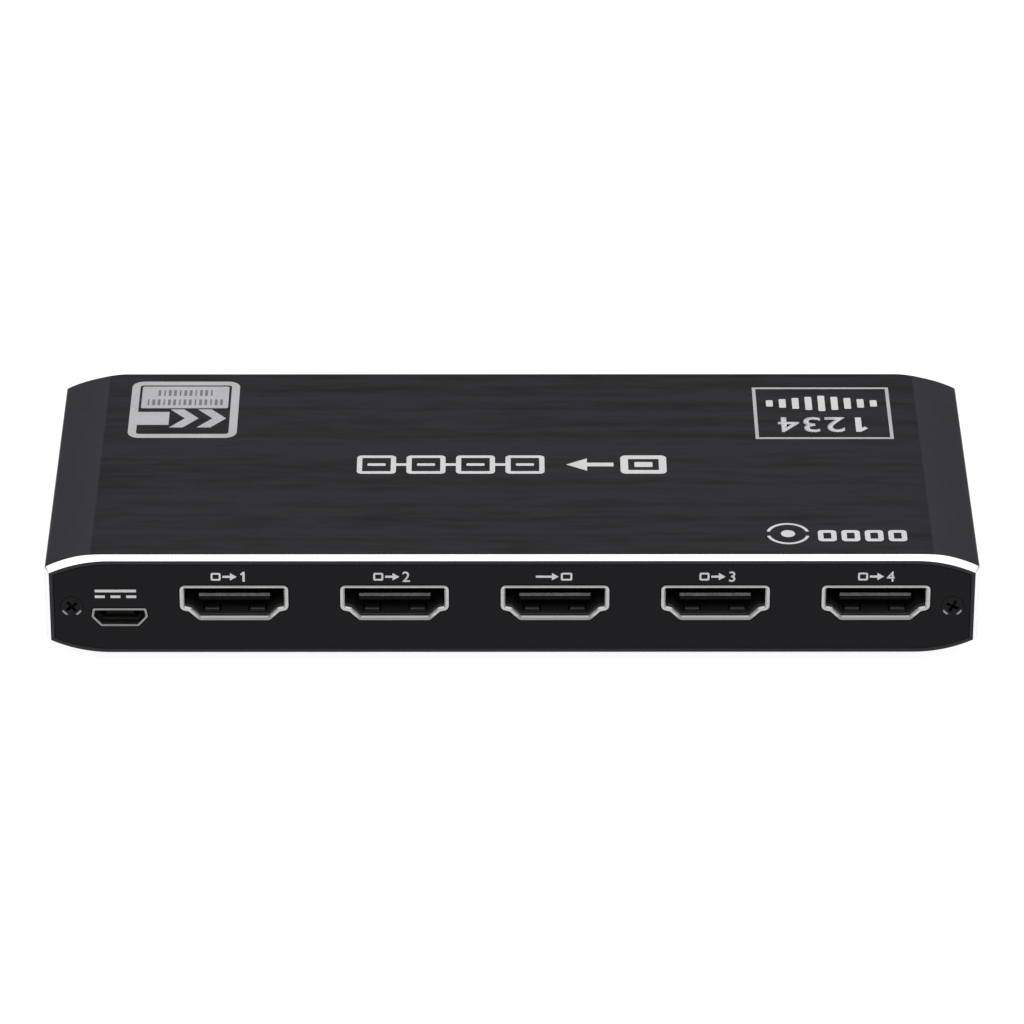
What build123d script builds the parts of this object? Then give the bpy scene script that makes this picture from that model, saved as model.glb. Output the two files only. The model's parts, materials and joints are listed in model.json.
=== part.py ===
from build123d import *
import math
import os

# A slim signal splitter box: an extruded aluminium tube, closed by two end plates, with one
# power socket and a row of five AV sockets on the front plate and five lamps on the rear plate.
# The circuit board slides into the tube on two shelf ribs. Sizes are millimetres.
# The sockets face -Y, +Z is up, and the origin is on the floor under the middle of the case.

# Clearances and small values used everywhere
overrun = 1.0  # how far a cut runs past what it cuts
slip_gap = 0.15  # round what passes through an opening or a slot
moulding_gap = 0.05  # between a socket's moulding and its metal shell
groove_gap = 0.02  # round a contact in its groove
pin_gap = 0.08  # round a light guide's pin in the rear plate
least_round = 0.1

# The row of sockets, measured along the case from its left side
socket_names = ("out_1", "out_2", "input", "out_3", "out_4")
left_margin = 10.4  # left side of the case to the power socket
power_pitch = 16.1  # power socket to the first AV socket
av_pitch = 22.5
right_margin = 14.5  # last AV socket to the right side of the case

# Case tube
case_depth = 56.0
case_height = 16.0
wall = 1.2
shoulder_run = 9.0  # width of the rounded shoulder along each long side
shoulder_drop = 2.2  # how far the shoulder falls to the side wall
mouth_chamfer = 0.65
corner_round = 0.4
shelf_width = 1.5
shelf_thickness = 1.1

# End plates
plate_thickness = 2.0
plate_gap = 0.1

# Feet
foot_radius = 4.0
foot_thickness = 1.0
foot_round = 0.3
foot_side_inset = 16.0
foot_end_inset = 9.0

# Plate screws and the ports in the tube that take them
screw_side_inset = 3.7
screw_length = 6.0
screw_core_radius = 0.8
thread_depth = 0.15
thread_pitch = 0.4
thread_gap = 0.05
screw_tip = 0.5
head_radius = 1.55
head_sink = 0.08
seat_gap = 0.07
recess_length = 1.9
recess_width = 0.45
recess_depth = 0.8
front_screw_turns = (38, 63)  # degrees each cross is turned, left and right
back_screw_turns = (12, 51)
port_gap = 0.11  # between the underside of a port and the board
port_slot = 0.9

# Circuit board
board_thickness = 1.6
board_side_gap = 0.3
board_end_gap = 0.3

# AV sockets: the opening in the metal shell, and what is round and in it
av_rise = 0.64  # socket centres above the middle of the case
av_opening_width = 14.0
av_opening_height = 4.4
av_side_height = 2.84  # straight side of the opening, from its top edge down
av_step_run = 0.95
av_step_drop = 0.21
av_bottom_width = 9.4
av_corner_round = 0.2
av_step_round = 0.9
av_wall = 0.4
av_lip = 0.2  # how far the lip at the mouth stands out
av_lip_depth = 0.8
av_lead_in = 0.2  # bevel inside the mouth
av_shell_depth = 12.0
av_leg_length = 1.4
av_leg_rise = 0.5  # how far a leg laps the side of the shell
av_leg_reach = 0.8  # how far a leg stands out under the board
av_leg_depths = (4.0, 9.6)  # from the mouth to the front of each leg
finger_offset = 3.2
finger_width = 2.0
finger_length = 4.6
finger_slot = 0.3
finger_front = 1.7
finger_bump = 0.25

# AV tongue and contacts
tongue_width = 9.96
tongue_thickness = 1.15
tongue_setback = 1.5
tongue_bevel = 0.3
av_block_depth = 3.2
contact_pitch = 1.0
contact_width = 0.3
contact_thickness = 0.15
contact_setback = 0.7  # contact's front end behind the tongue's front
contact_foot = 0.8
upper_contacts = 10
lower_contacts = 9

# Power socket: the outside of its flared mouth, and what is behind it
power_rise = 0.28  # its centre above the board's top
power_mouth_width = 7.93
power_mouth_top = 7.47
power_mouth_bottom = 5.28
power_mouth_height = 2.87
power_shoulder = 1.36  # top edge down to the widest level
power_round = 0.3
power_flare = 0.25
power_flare_depth = 0.8
power_wall = 0.3
power_shell_depth = 5.0
power_block_depth = 1.3
power_tongue_width = 3.9
power_tongue_thickness = 0.6
power_tongue_setback = 1.0
power_tongue_drop = 0.3  # under the roof of the shell
power_contacts = 5
power_contact_pitch = 0.65
power_contact_foot = 0.8
wing_length = 1.6
wing_front = 3.0
wing_reach = 1.5
wing_thickness = 0.3
wing_leg_width = 0.4
wing_leg_reach = 0.4

# Chip packages: the splitter chip, its heat sink, the control chip and the regulator
chip_standoff = 0.1
chip_bevel = 0.12
dimple_radius = 0.35
dimple_depth = 0.08
dimple_inset = 0.75
splitter_side = 10.0
splitter_height = 1.0
splitter_lead_pitch = 0.5
splitter_lead_margin = 1.25  # from a corner of the body to the first lead
splitter_lead_width = 0.22
splitter_lead_thickness = 0.13
splitter_lead_reach = 0.45
splitter_lead_foot = 0.5
pad_side = 9.0
pad_thickness = 0.4
sink_side = 14.0
sink_base = 0.8
sink_fin_height = 1.8
sink_fin_thickness = 0.8
sink_fins = 7
control_width = 3.9
control_length = 4.9
control_height = 1.4
control_lead_pitch = 1.27
control_lead_width = 0.4
control_lead_thickness = 0.2
control_lead_reach = 0.5
control_lead_foot = 0.55
regulator_width = 1.6
regulator_length = 2.9
regulator_height = 1.1
regulator_lead_pitch = 0.95
regulator_lead_width = 0.35
regulator_lead_thickness = 0.13
regulator_lead_reach = 0.3
regulator_lead_foot = 0.35

# Coil, capacitors, crystal and other small parts
inductor_side = 6.0
inductor_height = 2.8
inductor_corner = 1.0
inductor_core_radius = 2.3
inductor_core_gap = 0.1
inductor_floor = 0.5
bulk_radius = 2.5
bulk_height = 3.7
bulk_round = 0.4
bulk_base_side = 5.3
bulk_base_thickness = 0.6
bulk_base_corner = 1.0
crystal_length = 11.0
crystal_width = 4.6
crystal_height = 3.4
crystal_flange = 0.4
crystal_flange_thickness = 0.5
crystal_round = 0.3
ceramic_length = 1.6
ceramic_width = 0.8
ceramic_height = 0.8
resistor_height = 0.45
end_cap = 0.3
end_cap_step = 0.04
array_length = 2.5
array_width = 1.0
array_height = 0.5
array_offset = 2.6
small_part_pitch = 2.1
small_part_row = 2.3  # surge arrays to the row of resistors behind them

# Lamps and the light guide at the rear plate
light_pitch = 9.0
light_count = 5
light_rise = 1.95  # pin centres above the board
light_pin_radius = 1.0
guide_height = 3.2
guide_depth = 2.0
guide_end_gap = 0.9  # between the guide's bar and the rear plate
guide_end = 1.6  # bar past the centre of its last pin
peg_radius = 0.7
peg_length = 1.3
lamp_width = 2.4
lamp_depth = 1.3
lamp_height = 2.4
lamp_gap = 0.2
lamp_window_depth = 0.15
lamp_frame = 0.35
field_gap = 1.0  # kept free between the sockets, the lamps and the chips

# Places on the board: columns are shares of the AV pitch from the first AV socket,
# rows are shares of the free field behind the sockets
bulk_place_shares = ((-0.62, 0.40), (-0.62, 0.76))
regulator_place_share = (-0.29, 0.50)
inductor_place_share = (0.04, 0.50)
control_place_share = (1.0, 0.56)
splitter_place_share = (2.0, 0.56)
crystal_place_share = (2.62, 0.56)
ceramic_place_shares = (
    (-0.38, 0.74),
    (-0.22, 0.74),
    (-0.38, 0.30),
    (0.62, 0.56),
    (0.62, 0.66),
    (1.38, 0.56),
    (1.38, 0.66),
    (2.86, 0.46),
    (2.86, 0.66),
)

# Steps of the small parts' pitch, each side of a socket's or the splitter chip's middle
resistor_steps = (-1.5, -0.5, 0.5, 1.5)
ceramic_steps = (-2, -1, 0, 1, 2)

# Sizes that follow from those above
av_count = len(socket_names)
case_width = left_margin + power_pitch + av_pitch * (av_count - 1) + right_margin
shoulder_radius = (shoulder_run**2 + shoulder_drop**2) / (2 * shoulder_drop)
middle = foot_thickness + case_height / 2
front = -case_depth / 2
back = case_depth / 2
front_seat = front + plate_thickness
back_seat = back - plate_thickness
screw_x = case_width / 2 - screw_side_inset

power_x = left_margin - case_width / 2
av_columns = [power_x + power_pitch + av_pitch * place for place in range(av_count)]
av_height = middle + av_rise
av_lip_growth = av_wall + av_lip

board_top = av_height - av_opening_height / 2 - av_wall
board_bottom = board_top - board_thickness
board_half = case_width / 2 - wall - board_side_gap
board_front = front_seat + board_end_gap
board_back = back_seat - board_end_gap
port_radius = middle - board_top - port_gap
port_hole_radius = screw_core_radius + thread_depth + thread_gap
power_height = board_top + power_rise

guide_back = back_seat - guide_end_gap
guide_front = guide_back - guide_depth
lamp_back = guide_front - lamp_gap
lamp_front = lamp_back - lamp_depth
light_height = board_top + light_rise
light_columns = [light_pitch * (place - (light_count - 1) / 2) for place in range(light_count)]
tail_back = front + av_shell_depth + contact_thickness + groove_gap + contact_foot
field_front = tail_back + field_gap
field_back = lamp_front - field_gap
sink_bottom = board_top + chip_standoff + splitter_height + pad_thickness

# Leads of each chip: count on a side, pitch, width, thickness, reach and foot
splitter_leads = round((splitter_side - 2 * splitter_lead_margin) / splitter_lead_pitch) + 1
control_leads = round(control_length / control_lead_pitch)
regulator_leads = round(regulator_length / regulator_lead_pitch)
splitter_lead = (
    splitter_leads,
    splitter_lead_pitch,
    splitter_lead_width,
    splitter_lead_thickness,
    splitter_lead_reach,
    splitter_lead_foot,
)
control_lead = (
    control_leads,
    control_lead_pitch,
    control_lead_width,
    control_lead_thickness,
    control_lead_reach,
    control_lead_foot,
)
regulator_lead = (
    regulator_leads,
    regulator_lead_pitch,
    regulator_lead_width,
    regulator_lead_thickness,
    regulator_lead_reach,
    regulator_lead_foot,
)

# Alignment of a cylinder that stands on its base
upright = (Align.CENTER, Align.CENTER, Align.MIN)


def stand(face, x, y, z):
    """Stands a face up in X and Z, with its drawing's middle at the given point."""
    return Plane(origin=(x, y, z), x_dir=(1, 0, 0), z_dir=(0, -1, 0)) * face


def along_depth(face, y_front, y_back, x=0, z=middle):
    """Gives a standing face depth, from y_front to y_back."""
    return extrude(stand(face, x, y_back, z), y_back - y_front)


def along_width(points, left, right):
    """A solid with a polygon of (y, z) points as its side view, from x = left to x = right."""
    return extrude(Plane.YZ.offset(left) * make_face(Polyline(points, close=True)), right - left)


def bent_contact(x, y_front, y_drop, top, foot):
    """A contact: a flat strip back from y_front, a drop that ends at y_drop, and a foot."""
    thickness = contact_thickness
    points = [
        (y_front, top),
        (y_drop, top),
        (y_drop, board_top + thickness),
        (y_drop + foot, board_top + thickness),
        (y_drop + foot, board_top),
        (y_drop - thickness, board_top),
        (y_drop - thickness, top - thickness),
        (y_front, top - thickness),
    ]
    return along_width(points, *about(x, contact_width))


def span_box(x_span, y_span, z_span):
    """A box between two values along each axis."""
    spans = (x_span, y_span, z_span)
    sizes = [high - low for low, high in spans]
    return Pos(*[low for low, high in spans]) * Box(*sizes, align=(Align.MIN,) * 3)


def about(centre, width):
    """The span of a width about its centre."""
    return (centre - width / 2, centre + width / 2)


def place(share):
    """The point on the board for a (column, row) share."""
    column, row = share
    return (av_columns[0] + column * av_pitch, field_front + row * (field_back - field_front))


def write_node(name, *pieces):
    """Writes one named sub-part; like pieces share a node as separate solids."""
    solids = [solid for piece in pieces for solid in piece.solids()]
    export_step(Compound(solids), os.path.join("parts", name + ".step"))


# Outlines


def tube_face(inset):
    """The case's cross-section, drawn inset inside its outer faces."""
    side = case_width / 2 - inset
    top = case_height / 2 - inset
    arc_x = case_width / 2 - shoulder_run
    arc_z = case_height / 2 - shoulder_radius
    corner_z = arc_z + math.sqrt((shoulder_radius - inset) ** 2 - (side - arc_x) ** 2)
    roof = Line((-arc_x, top), (arc_x, top))
    shoulder = TangentArc((arc_x, top), (side, corner_z), tangent=(1, 0))
    cheek = Line((side, corner_z), (side, -corner_z))
    upper = [roof, shoulder, mirror(shoulder, Plane.YZ)]
    lower = [mirror(edge, Plane.XZ) for edge in upper]
    face = make_face([*upper, *lower, cheek, mirror(cheek, Plane.YZ)])
    corners = [v for v in face.vertices() if abs(v.X) > (arc_x + side) / 2]
    return fillet(corners, max(corner_round - inset, least_round))


def grown(corners, growth):
    """The corners of an anticlockwise polygon with every side moved out by growth."""
    points = [Vector(*corner) for corner in corners]
    moved = []
    for before, point, after in zip(points[-1:] + points, points, points[1:] + points[:1]):
        arriving = (point - before).normalized()
        leaving = (after - point).normalized()
        out_of_first = Vector(arriving.Y, -arriving.X)
        out_of_second = Vector(leaving.Y, -leaving.X)
        reach = growth / (1 + out_of_first.dot(out_of_second))
        moved.append(point + (out_of_first + out_of_second) * reach)
    return moved


def symmetric_face(half, growth):
    """A left-right symmetric face. half lists its right side from the top down as
    (x, z, radius, bulge), with bulge 1 at an outer corner and -1 at an inner one."""
    right = list(reversed(half))
    left = [(-x, z, radius, bulge) for x, z, radius, bulge in half]
    corners = [(x, z) for x, z, radius, bulge in right + left]
    radii = [max(radius + bulge * growth, least_round) for x, z, radius, bulge in right + left]
    return make_face(FilletPolyline(*grown(corners, growth), radius=radii, close=True))


def av_face(growth):
    """The AV opening, grown outwards: a wide top, and a bottom drawn in by two steps."""
    half_width = av_opening_width / 2
    half_height = av_opening_height / 2
    side_low = half_height - av_side_height
    half = [
        (half_width, half_height, av_corner_round, 1),
        (half_width, side_low, av_corner_round, 1),
        (half_width - av_step_run, side_low - av_step_drop, av_step_round, -1),
        (av_bottom_width / 2, -half_height, av_corner_round, 1),
    ]
    return symmetric_face(half, growth)


def power_face(growth):
    """The outside of the power socket's mouth, grown outwards, or inwards where negative."""
    half_height = power_mouth_height / 2
    half = [
        (power_mouth_top / 2, half_height, power_round, 1),
        (power_mouth_width / 2, half_height - power_shoulder, power_round, 1),
        (power_mouth_bottom / 2, -half_height, power_round, 1),
    ]
    return symmetric_face(half, growth)


# Case, plates, screws and feet


def tube_mouth(y_mouth, inward):
    """The tube's last stretch, whose outside is cut back to the mouth at 45 degrees."""
    cut = stand(tube_face(mouth_chamfer), 0, y_mouth, middle)
    full = stand(tube_face(0), 0, y_mouth + inward * mouth_chamfer, middle)
    return loft([cut, full], ruled=True)


def screw_port(side):
    """A port along a side wall that a plate screw cuts its thread in, slotted inwards."""
    root = screw_side_inset - wall / 2
    profile = Circle(port_radius) + Pos(root / 2, 0) * Rectangle(root, 2 * port_radius)
    profile -= Circle(port_hole_radius)
    profile -= Pos(-port_radius, 0) * Rectangle(2 * port_radius, port_slot)
    if side < 0:
        profile = mirror(profile, Plane.YZ)
    return along_depth(profile, front_seat, back_seat, side * screw_x)


def shelf_rib(side):
    """A rib along a side wall that carries one edge of the board."""
    inner = case_width / 2 - wall - shelf_width
    outer = case_width / 2 - wall / 2
    x_span = (inner, outer) if side > 0 else (-outer, -inner)
    z_span = (board_bottom - shelf_thickness, board_bottom)
    return span_box(x_span, (front_seat, back_seat), z_span)


def case_tube():
    tube = along_depth(tube_face(0), front + mouth_chamfer, back - mouth_chamfer)
    tube += tube_mouth(front, 1)
    tube += tube_mouth(back, -1)
    tube -= along_depth(tube_face(wall), front - overrun, back + overrun)
    for side in (-1, 1):
        tube += screw_port(side)
        tube += shelf_rib(side)
    return tube


def screw_frame(side, y_face, outward):
    """The plane of a screw: its origin on the plate's outer face, its normal pointing out."""
    return Plane(origin=(side * screw_x, y_face, middle), x_dir=(1, 0, 0), z_dir=(0, outward, 0))


def screw_seat():
    """What a countersunk screw hole cuts from a plate, with the plate's face at z = 0."""
    mouth = head_radius + head_sink + seat_gap + overrun
    hole = screw_core_radius + thread_depth + slip_gap
    deep = -plate_thickness - overrun
    profile = Polyline(
        [(0, overrun), (mouth, overrun), (hole, overrun - mouth + hole), (hole, deep), (0, deep)],
        close=True,
    )
    return revolve(Plane.XZ * make_face(profile), Axis.Z)


def plate_screw(turn):
    """A countersunk cross-head screw, with the plate's face at z = 0."""
    top = -head_sink
    thread_radius = screw_core_radius + thread_depth
    neck = top - (head_radius - thread_radius)
    tip = top - screw_length
    points = [(0, top), (head_radius, top), (thread_radius, neck)]
    turns = int((neck - tip - screw_tip) / thread_pitch)
    for ring in range(turns):
        crest = neck - thread_pitch * (ring + 1)
        points += [(screw_core_radius, crest + thread_pitch / 2), (thread_radius, crest)]
    points += [(screw_core_radius, tip + screw_tip / 2), (screw_core_radius / 2, tip), (0, tip)]
    screw = revolve(Plane.XZ * make_face(Polyline(points, close=True)), Axis.Z)
    slot = Box(recess_length, recess_width, 2 * recess_depth)
    for angle in (turn, turn + 90):
        screw -= Pos(0, 0, top) * Rot(0, 0, angle) * slot
    return screw


def end_plate(y_front, y_back, y_face, outward):
    """A plate that lies flush in a mouth of the tube, with its two screw holes."""
    plate = along_depth(tube_face(wall + plate_gap), y_front, y_back)
    for side in (-1, 1):
        plate -= screw_frame(side, y_face, outward) * screw_seat()
    return plate


def socket_plate():
    plate = end_plate(front, front_seat, front, -1)
    cut = (front - overrun, front_seat + overrun)
    for x in av_columns:
        plate -= along_depth(av_face(av_lip_growth + slip_gap), *cut, x, av_height)
    plate -= along_depth(power_face(slip_gap), *cut, power_x, power_height)
    return plate


def indicator_plate():
    plate = end_plate(back_seat, back, back, 1)
    cut = (back_seat - overrun, back + overrun)
    for x in light_columns:
        plate -= along_depth(Circle(light_pin_radius + pin_gap), *cut, x, light_height)
    return plate


def plate_screws(y_face, outward, turns):
    sides = (-1, 1)
    return [screw_frame(side, y_face, outward) * plate_screw(turn) for side, turn in zip(sides, turns)]


def rubber_feet():
    foot = Cylinder(foot_radius, foot_thickness, align=upright)
    foot = fillet(foot.edges().group_by(Axis.Z)[0], foot_round)
    x = case_width / 2 - foot_side_inset
    y = case_depth / 2 - foot_end_inset
    return [Pos(across * x, along * y) * foot for across in (-1, 1) for along in (-1, 1)]


# Board


def leg_spans(x, depth):
    """The x and y spans of the pair of shell legs at one depth behind the mouth."""
    inner = av_opening_width / 2
    outer = inner + av_wall
    y_span = (front + depth, front + depth + av_leg_length)
    return [((x - outer, x - inner), y_span), ((x + inner, x + outer), y_span)]


def widened(span, gap):
    """A span with a gap added at both ends."""
    return (span[0] - gap, span[1] + gap)


def wing_spans():
    """The x spans of the power socket's two wings and of the leg at the end of each."""
    inner = power_mouth_width / 2 - power_flare - power_wall
    outer = power_mouth_width / 2 + wing_reach
    leg = outer - wing_leg_width
    return [
        ((power_x - outer, power_x - inner), (power_x - outer, power_x - leg)),
        ((power_x + inner, power_x + outer), (power_x + leg, power_x + outer)),
    ]


def wing_y_span():
    return (front + wing_front, front + wing_front + wing_length)


def peg_columns():
    """The light guide's two pegs, half way between its outer pins."""
    return [(light_columns[0] + light_columns[1]) / 2, (light_columns[-2] + light_columns[-1]) / 2]


def main_board():
    through = (board_bottom - overrun, board_top + overrun)
    board = span_box((-board_half, board_half), (board_front, board_back), (board_bottom, board_top))
    for x in av_columns:
        for depth in av_leg_depths:
            for x_span, y_span in leg_spans(x, depth):
                board -= span_box(widened(x_span, slip_gap), widened(y_span, slip_gap), through)
    notch_width = power_mouth_width - 2 * power_flare + 2 * slip_gap
    notch_back = front + power_shell_depth + slip_gap
    board -= span_box(about(power_x, notch_width), (board_front - overrun, notch_back), through)
    for wing, leg in wing_spans():
        board -= span_box(widened(leg, slip_gap), widened(wing_y_span(), slip_gap), through)
    peg_y = (guide_front + guide_back) / 2
    peg_hole = Cylinder(peg_radius + moulding_gap, 2 * (board_thickness + overrun))
    for x in peg_columns():
        board -= Pos(x, peg_y, board_top) * peg_hole
    return board


# AV sockets


def spring_finger(x, surface, inward):
    """The slot round one spring finger of an AV shell, and the bump near the finger's end."""
    z_span = widened(sorted((surface, surface - inward * av_wall)), finger_bump)
    slot_front = front + finger_front
    tip = slot_front + finger_slot
    root = tip + finger_length
    slot = span_box(about(x, finger_width + 2 * finger_slot), (slot_front, root), z_span)
    slot -= span_box(about(x, finger_width), (tip, root), z_span)
    radius = (av_wall + finger_bump) / 2
    bump = Rot(0, 90, 0) * Cylinder(radius, finger_width)
    bump_z = surface + inward * (finger_bump - radius)
    return slot, Pos(x, tip + radius, bump_z) * bump


def av_shell(x):
    """A socket's folded metal shell: lip, body, four spring fingers and four board legs."""
    shell_back = front + av_shell_depth
    shell = along_depth(av_face(av_wall), front, shell_back, x, av_height)
    shell += along_depth(av_face(av_lip_growth), front, front + av_lip_depth, x, av_height)
    leg_top = av_height + av_opening_height / 2 - av_side_height + av_leg_rise
    for depth in av_leg_depths:
        for x_span, y_span in leg_spans(x, depth):
            shell += span_box(x_span, y_span, (board_bottom - av_leg_reach, leg_top))
    shell -= along_depth(av_face(0), front - overrun, shell_back + overrun, x, av_height)
    mouth = stand(av_face(av_lead_in), x, front, av_height)
    throat = stand(av_face(0), x, front + av_lead_in, av_height)
    shell -= loft([mouth, throat], ruled=True)
    half_height = av_opening_height / 2
    for offset in (-finger_offset, finger_offset):
        for inward in (-1, 1):
            slot, bump = spring_finger(x + offset, av_height - inward * half_height, inward)
            shell = shell - slot + bump
    return shell


def contact(x, surface, groove_side):
    """One AV contact: a strip in the tongue's surface, down behind the shell, and a foot."""
    y_front = front + tongue_setback + contact_setback
    y_drop = front + av_shell_depth + groove_gap + contact_thickness
    top = surface if groove_side > 0 else surface + contact_thickness
    return bent_contact(x, y_front, y_drop, top, contact_foot)


def contact_rows(x):
    """(x, surface height, groove side) of every contact of a socket, upper row first."""
    upper = av_height + tongue_thickness / 2
    lower = av_height - tongue_thickness / 2
    rows = []
    for count, surface, groove_side in ((upper_contacts, upper, 1), (lower_contacts, lower, -1)):
        first = x - contact_pitch * (count - 1) / 2
        rows += [(first + contact_pitch * place, surface, groove_side) for place in range(count)]
    return rows


def av_insulator(x):
    """A socket's black moulding: the block that closes the shell, and the tongue."""
    shell_back = front + av_shell_depth
    block_front = shell_back - av_block_depth
    tongue_front = front + tongue_setback
    half = tongue_thickness / 2
    tongue = [
        (tongue_front, av_height - half + tongue_bevel),
        (tongue_front + tongue_bevel, av_height - half),
        (shell_back, av_height - half),
        (shell_back, av_height + half),
        (tongue_front + tongue_bevel, av_height + half),
        (tongue_front, av_height + half - tongue_bevel),
    ]
    moulding = along_depth(av_face(-moulding_gap), block_front, shell_back, x, av_height)
    moulding += along_width(tongue, *about(x, tongue_width))
    for contact_x, surface, groove_side in contact_rows(x):
        depth = groove_side * contact_thickness
        z_span = widened(sorted((surface, surface - depth)), groove_gap)
        y_span = (tongue_front + contact_setback - groove_gap, shell_back + overrun)
        moulding -= span_box(widened(about(contact_x, contact_width), groove_gap), y_span, z_span)
    return moulding


# Power socket


def power_shell():
    """The power socket's folded shell: a flared mouth, a body, and a wing with a leg each side."""
    flare_back = front + power_flare_depth
    shell_back = front + power_shell_depth
    body = power_face(-power_flare)
    bore = power_face(-power_flare - power_wall)
    shell = along_depth(body, flare_back, shell_back, power_x, power_height)
    mouth = stand(power_face(0), power_x, front, power_height)
    shell += loft([mouth, stand(body, power_x, flare_back, power_height)], ruled=True)
    for wing, leg in wing_spans():
        shell += span_box(wing, wing_y_span(), (board_top, board_top + wing_thickness))
        shell += span_box(leg, wing_y_span(), (board_bottom - wing_leg_reach, board_top + wing_thickness))
    shell -= along_depth(bore, flare_back, shell_back + overrun, power_x, power_height)
    lip = stand(power_face(-power_wall), power_x, front, power_height)
    shell -= loft([lip, stand(bore, power_x, flare_back, power_height)], ruled=True)
    return shell


def power_tongue_span():
    """The height of the power socket's tongue."""
    roof = power_height + power_mouth_height / 2 - power_flare - power_wall
    top = roof - power_tongue_drop
    return (top - power_tongue_thickness, top)


def power_contact_columns():
    first = power_x - power_contact_pitch * (power_contacts - 1) / 2
    return [first + power_contact_pitch * place for place in range(power_contacts)]


def power_insulator():
    """The power socket's moulding: a block across the back of the shell, and the tongue."""
    shell_back = front + power_shell_depth
    section = power_face(-power_flare - power_wall - moulding_gap)
    block_front = shell_back - power_block_depth
    block = along_depth(section, block_front, shell_back, power_x, power_height)
    tongue_front = front + power_tongue_setback
    low, high = power_tongue_span()
    block += span_box(about(power_x, power_tongue_width), (tongue_front, shell_back), (low, high))
    y_span = (tongue_front + contact_thickness, shell_back + overrun)
    for x in power_contact_columns():
        groove = widened(about(x, contact_width), groove_gap)
        block -= span_box(groove, y_span, (low - groove_gap, low + contact_thickness + groove_gap))
    return block


def power_contact(x):
    """One power contact: a strip under the tongue that steps down to the board behind."""
    y_front = front + power_tongue_setback + contact_thickness + groove_gap
    y_drop = front + power_shell_depth + slip_gap + contact_thickness
    top = power_tongue_span()[0] + contact_thickness
    return bent_contact(x, y_front, y_drop, top, power_contact_foot)


# Chips and small parts


def chip_body(point, width, length, height):
    """A moulded package just above the board, with bevelled edges and a pin mark."""
    x, y = point
    base = board_top + chip_standoff
    body = span_box(about(x, width), about(y, length), (base, base + height))
    body = chamfer(body.edges().group_by(Axis.Z)[-1], chip_bevel)
    mark = (x - width / 2 + dimple_inset, y - length / 2 + dimple_inset, base + height)
    return body - Pos(*mark) * Cylinder(dimple_radius, 2 * dimple_depth)


def chip_leads(point, width, height, lead, angles):
    """Gull-wing leads along the sides of a chip that face the given angles.
    lead is (count on a side, pitch, width, thickness, reach, foot)."""
    count, pitch, lead_width, thickness, reach, foot = lead
    top = chip_standoff + height / 2 + thickness / 2
    profile = Polyline(
        [
            (0, top),
            (reach, top),
            (reach, thickness),
            (reach + foot, thickness),
            (reach + foot, 0),
            (reach - thickness, 0),
            (reach - thickness, top - thickness),
            (0, top - thickness),
        ],
        close=True,
    )
    wing = extrude(Plane.XZ * make_face(profile), lead_width / 2, both=True)
    first = -pitch * (count - 1) / 2
    return [
        Pos(*point, board_top) * Rot(0, 0, angle) * Pos(width / 2, first + pitch * index, 0) * wing
        for angle in angles
        for index in range(count)
    ]


def thermal_pad():
    x, y = place(splitter_place_share)
    return span_box(about(x, pad_side), about(y, pad_side), (sink_bottom - pad_thickness, sink_bottom))


def heat_sink():
    x, y = place(splitter_place_share)
    base_top = sink_bottom + sink_base
    y_span = about(y, sink_side)
    sink = span_box(about(x, sink_side), y_span, (sink_bottom, base_top))
    step = (sink_side - sink_fin_thickness) / (sink_fins - 1)
    for index in range(sink_fins):
        fin_x = x + step * (index - (sink_fins - 1) / 2)
        z_span = (sink_bottom, base_top + sink_fin_height)
        sink += span_box(about(fin_x, sink_fin_thickness), y_span, z_span)
    return sink


def inductor():
    """The coil's ferrite shield, with a round pocket, and the core that stands in it."""
    x, y = place(inductor_place_share)
    z_span = (board_top, board_top + inductor_height)
    shield = span_box(about(x, inductor_side), about(y, inductor_side), z_span)
    shield = chamfer(shield.edges().filter_by(Axis.Z), inductor_corner)
    pocket_depth = inductor_height - inductor_floor
    pocket = Cylinder(inductor_core_radius + inductor_core_gap, pocket_depth + overrun, align=upright)
    core = Cylinder(inductor_core_radius, pocket_depth - inductor_core_gap, align=upright)
    floor = Pos(x, y, board_top + inductor_floor)
    return shield - floor * pocket, floor * core


def bulk_capacitor(point):
    """A round aluminium can on a square moulded base with two cut corners."""
    x, y = point
    base_top = board_top + bulk_base_thickness
    base = span_box(about(x, bulk_base_side), about(y, bulk_base_side), (board_top, base_top))
    base = chamfer(base.edges().filter_by(Axis.Z).group_by(Axis.Y)[-1], bulk_base_corner)
    can = Cylinder(bulk_radius, bulk_height, align=upright)
    can = fillet(can.edges().group_by(Axis.Z)[-1], bulk_round)
    return Pos(x, y, base_top) * can, base


def clock_crystal():
    """A flat oval can on its flange, standing on the board with its length along Y."""
    x, y = place(crystal_place_share)
    flange_top = crystal_flange_thickness
    oval = SlotOverall(crystal_length + 2 * crystal_flange, crystal_width + 2 * crystal_flange)
    crystal = extrude(oval, flange_top)
    can = extrude(SlotOverall(crystal_length, crystal_width), crystal_height)
    crystal += fillet(can.edges().group_by(Axis.Z)[-1], crystal_round)
    return Pos(x, y, board_top) * Rot(0, 0, 90) * crystal


def end_capped(point, height):
    """A small two-ended part: a body a little thinner than its metal end caps."""
    x, y = point
    body_width = ceramic_width - 2 * end_cap_step
    z_span = (board_top + end_cap_step, board_top + height - end_cap_step)
    body = span_box(about(x, body_width), about(y, ceramic_length), z_span)
    for side in (-1, 1):
        cap_y = y + side * (ceramic_length - end_cap) / 2
        body += span_box(about(x, ceramic_width), about(cap_y, end_cap), (board_top, board_top + height))
    return body


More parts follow.
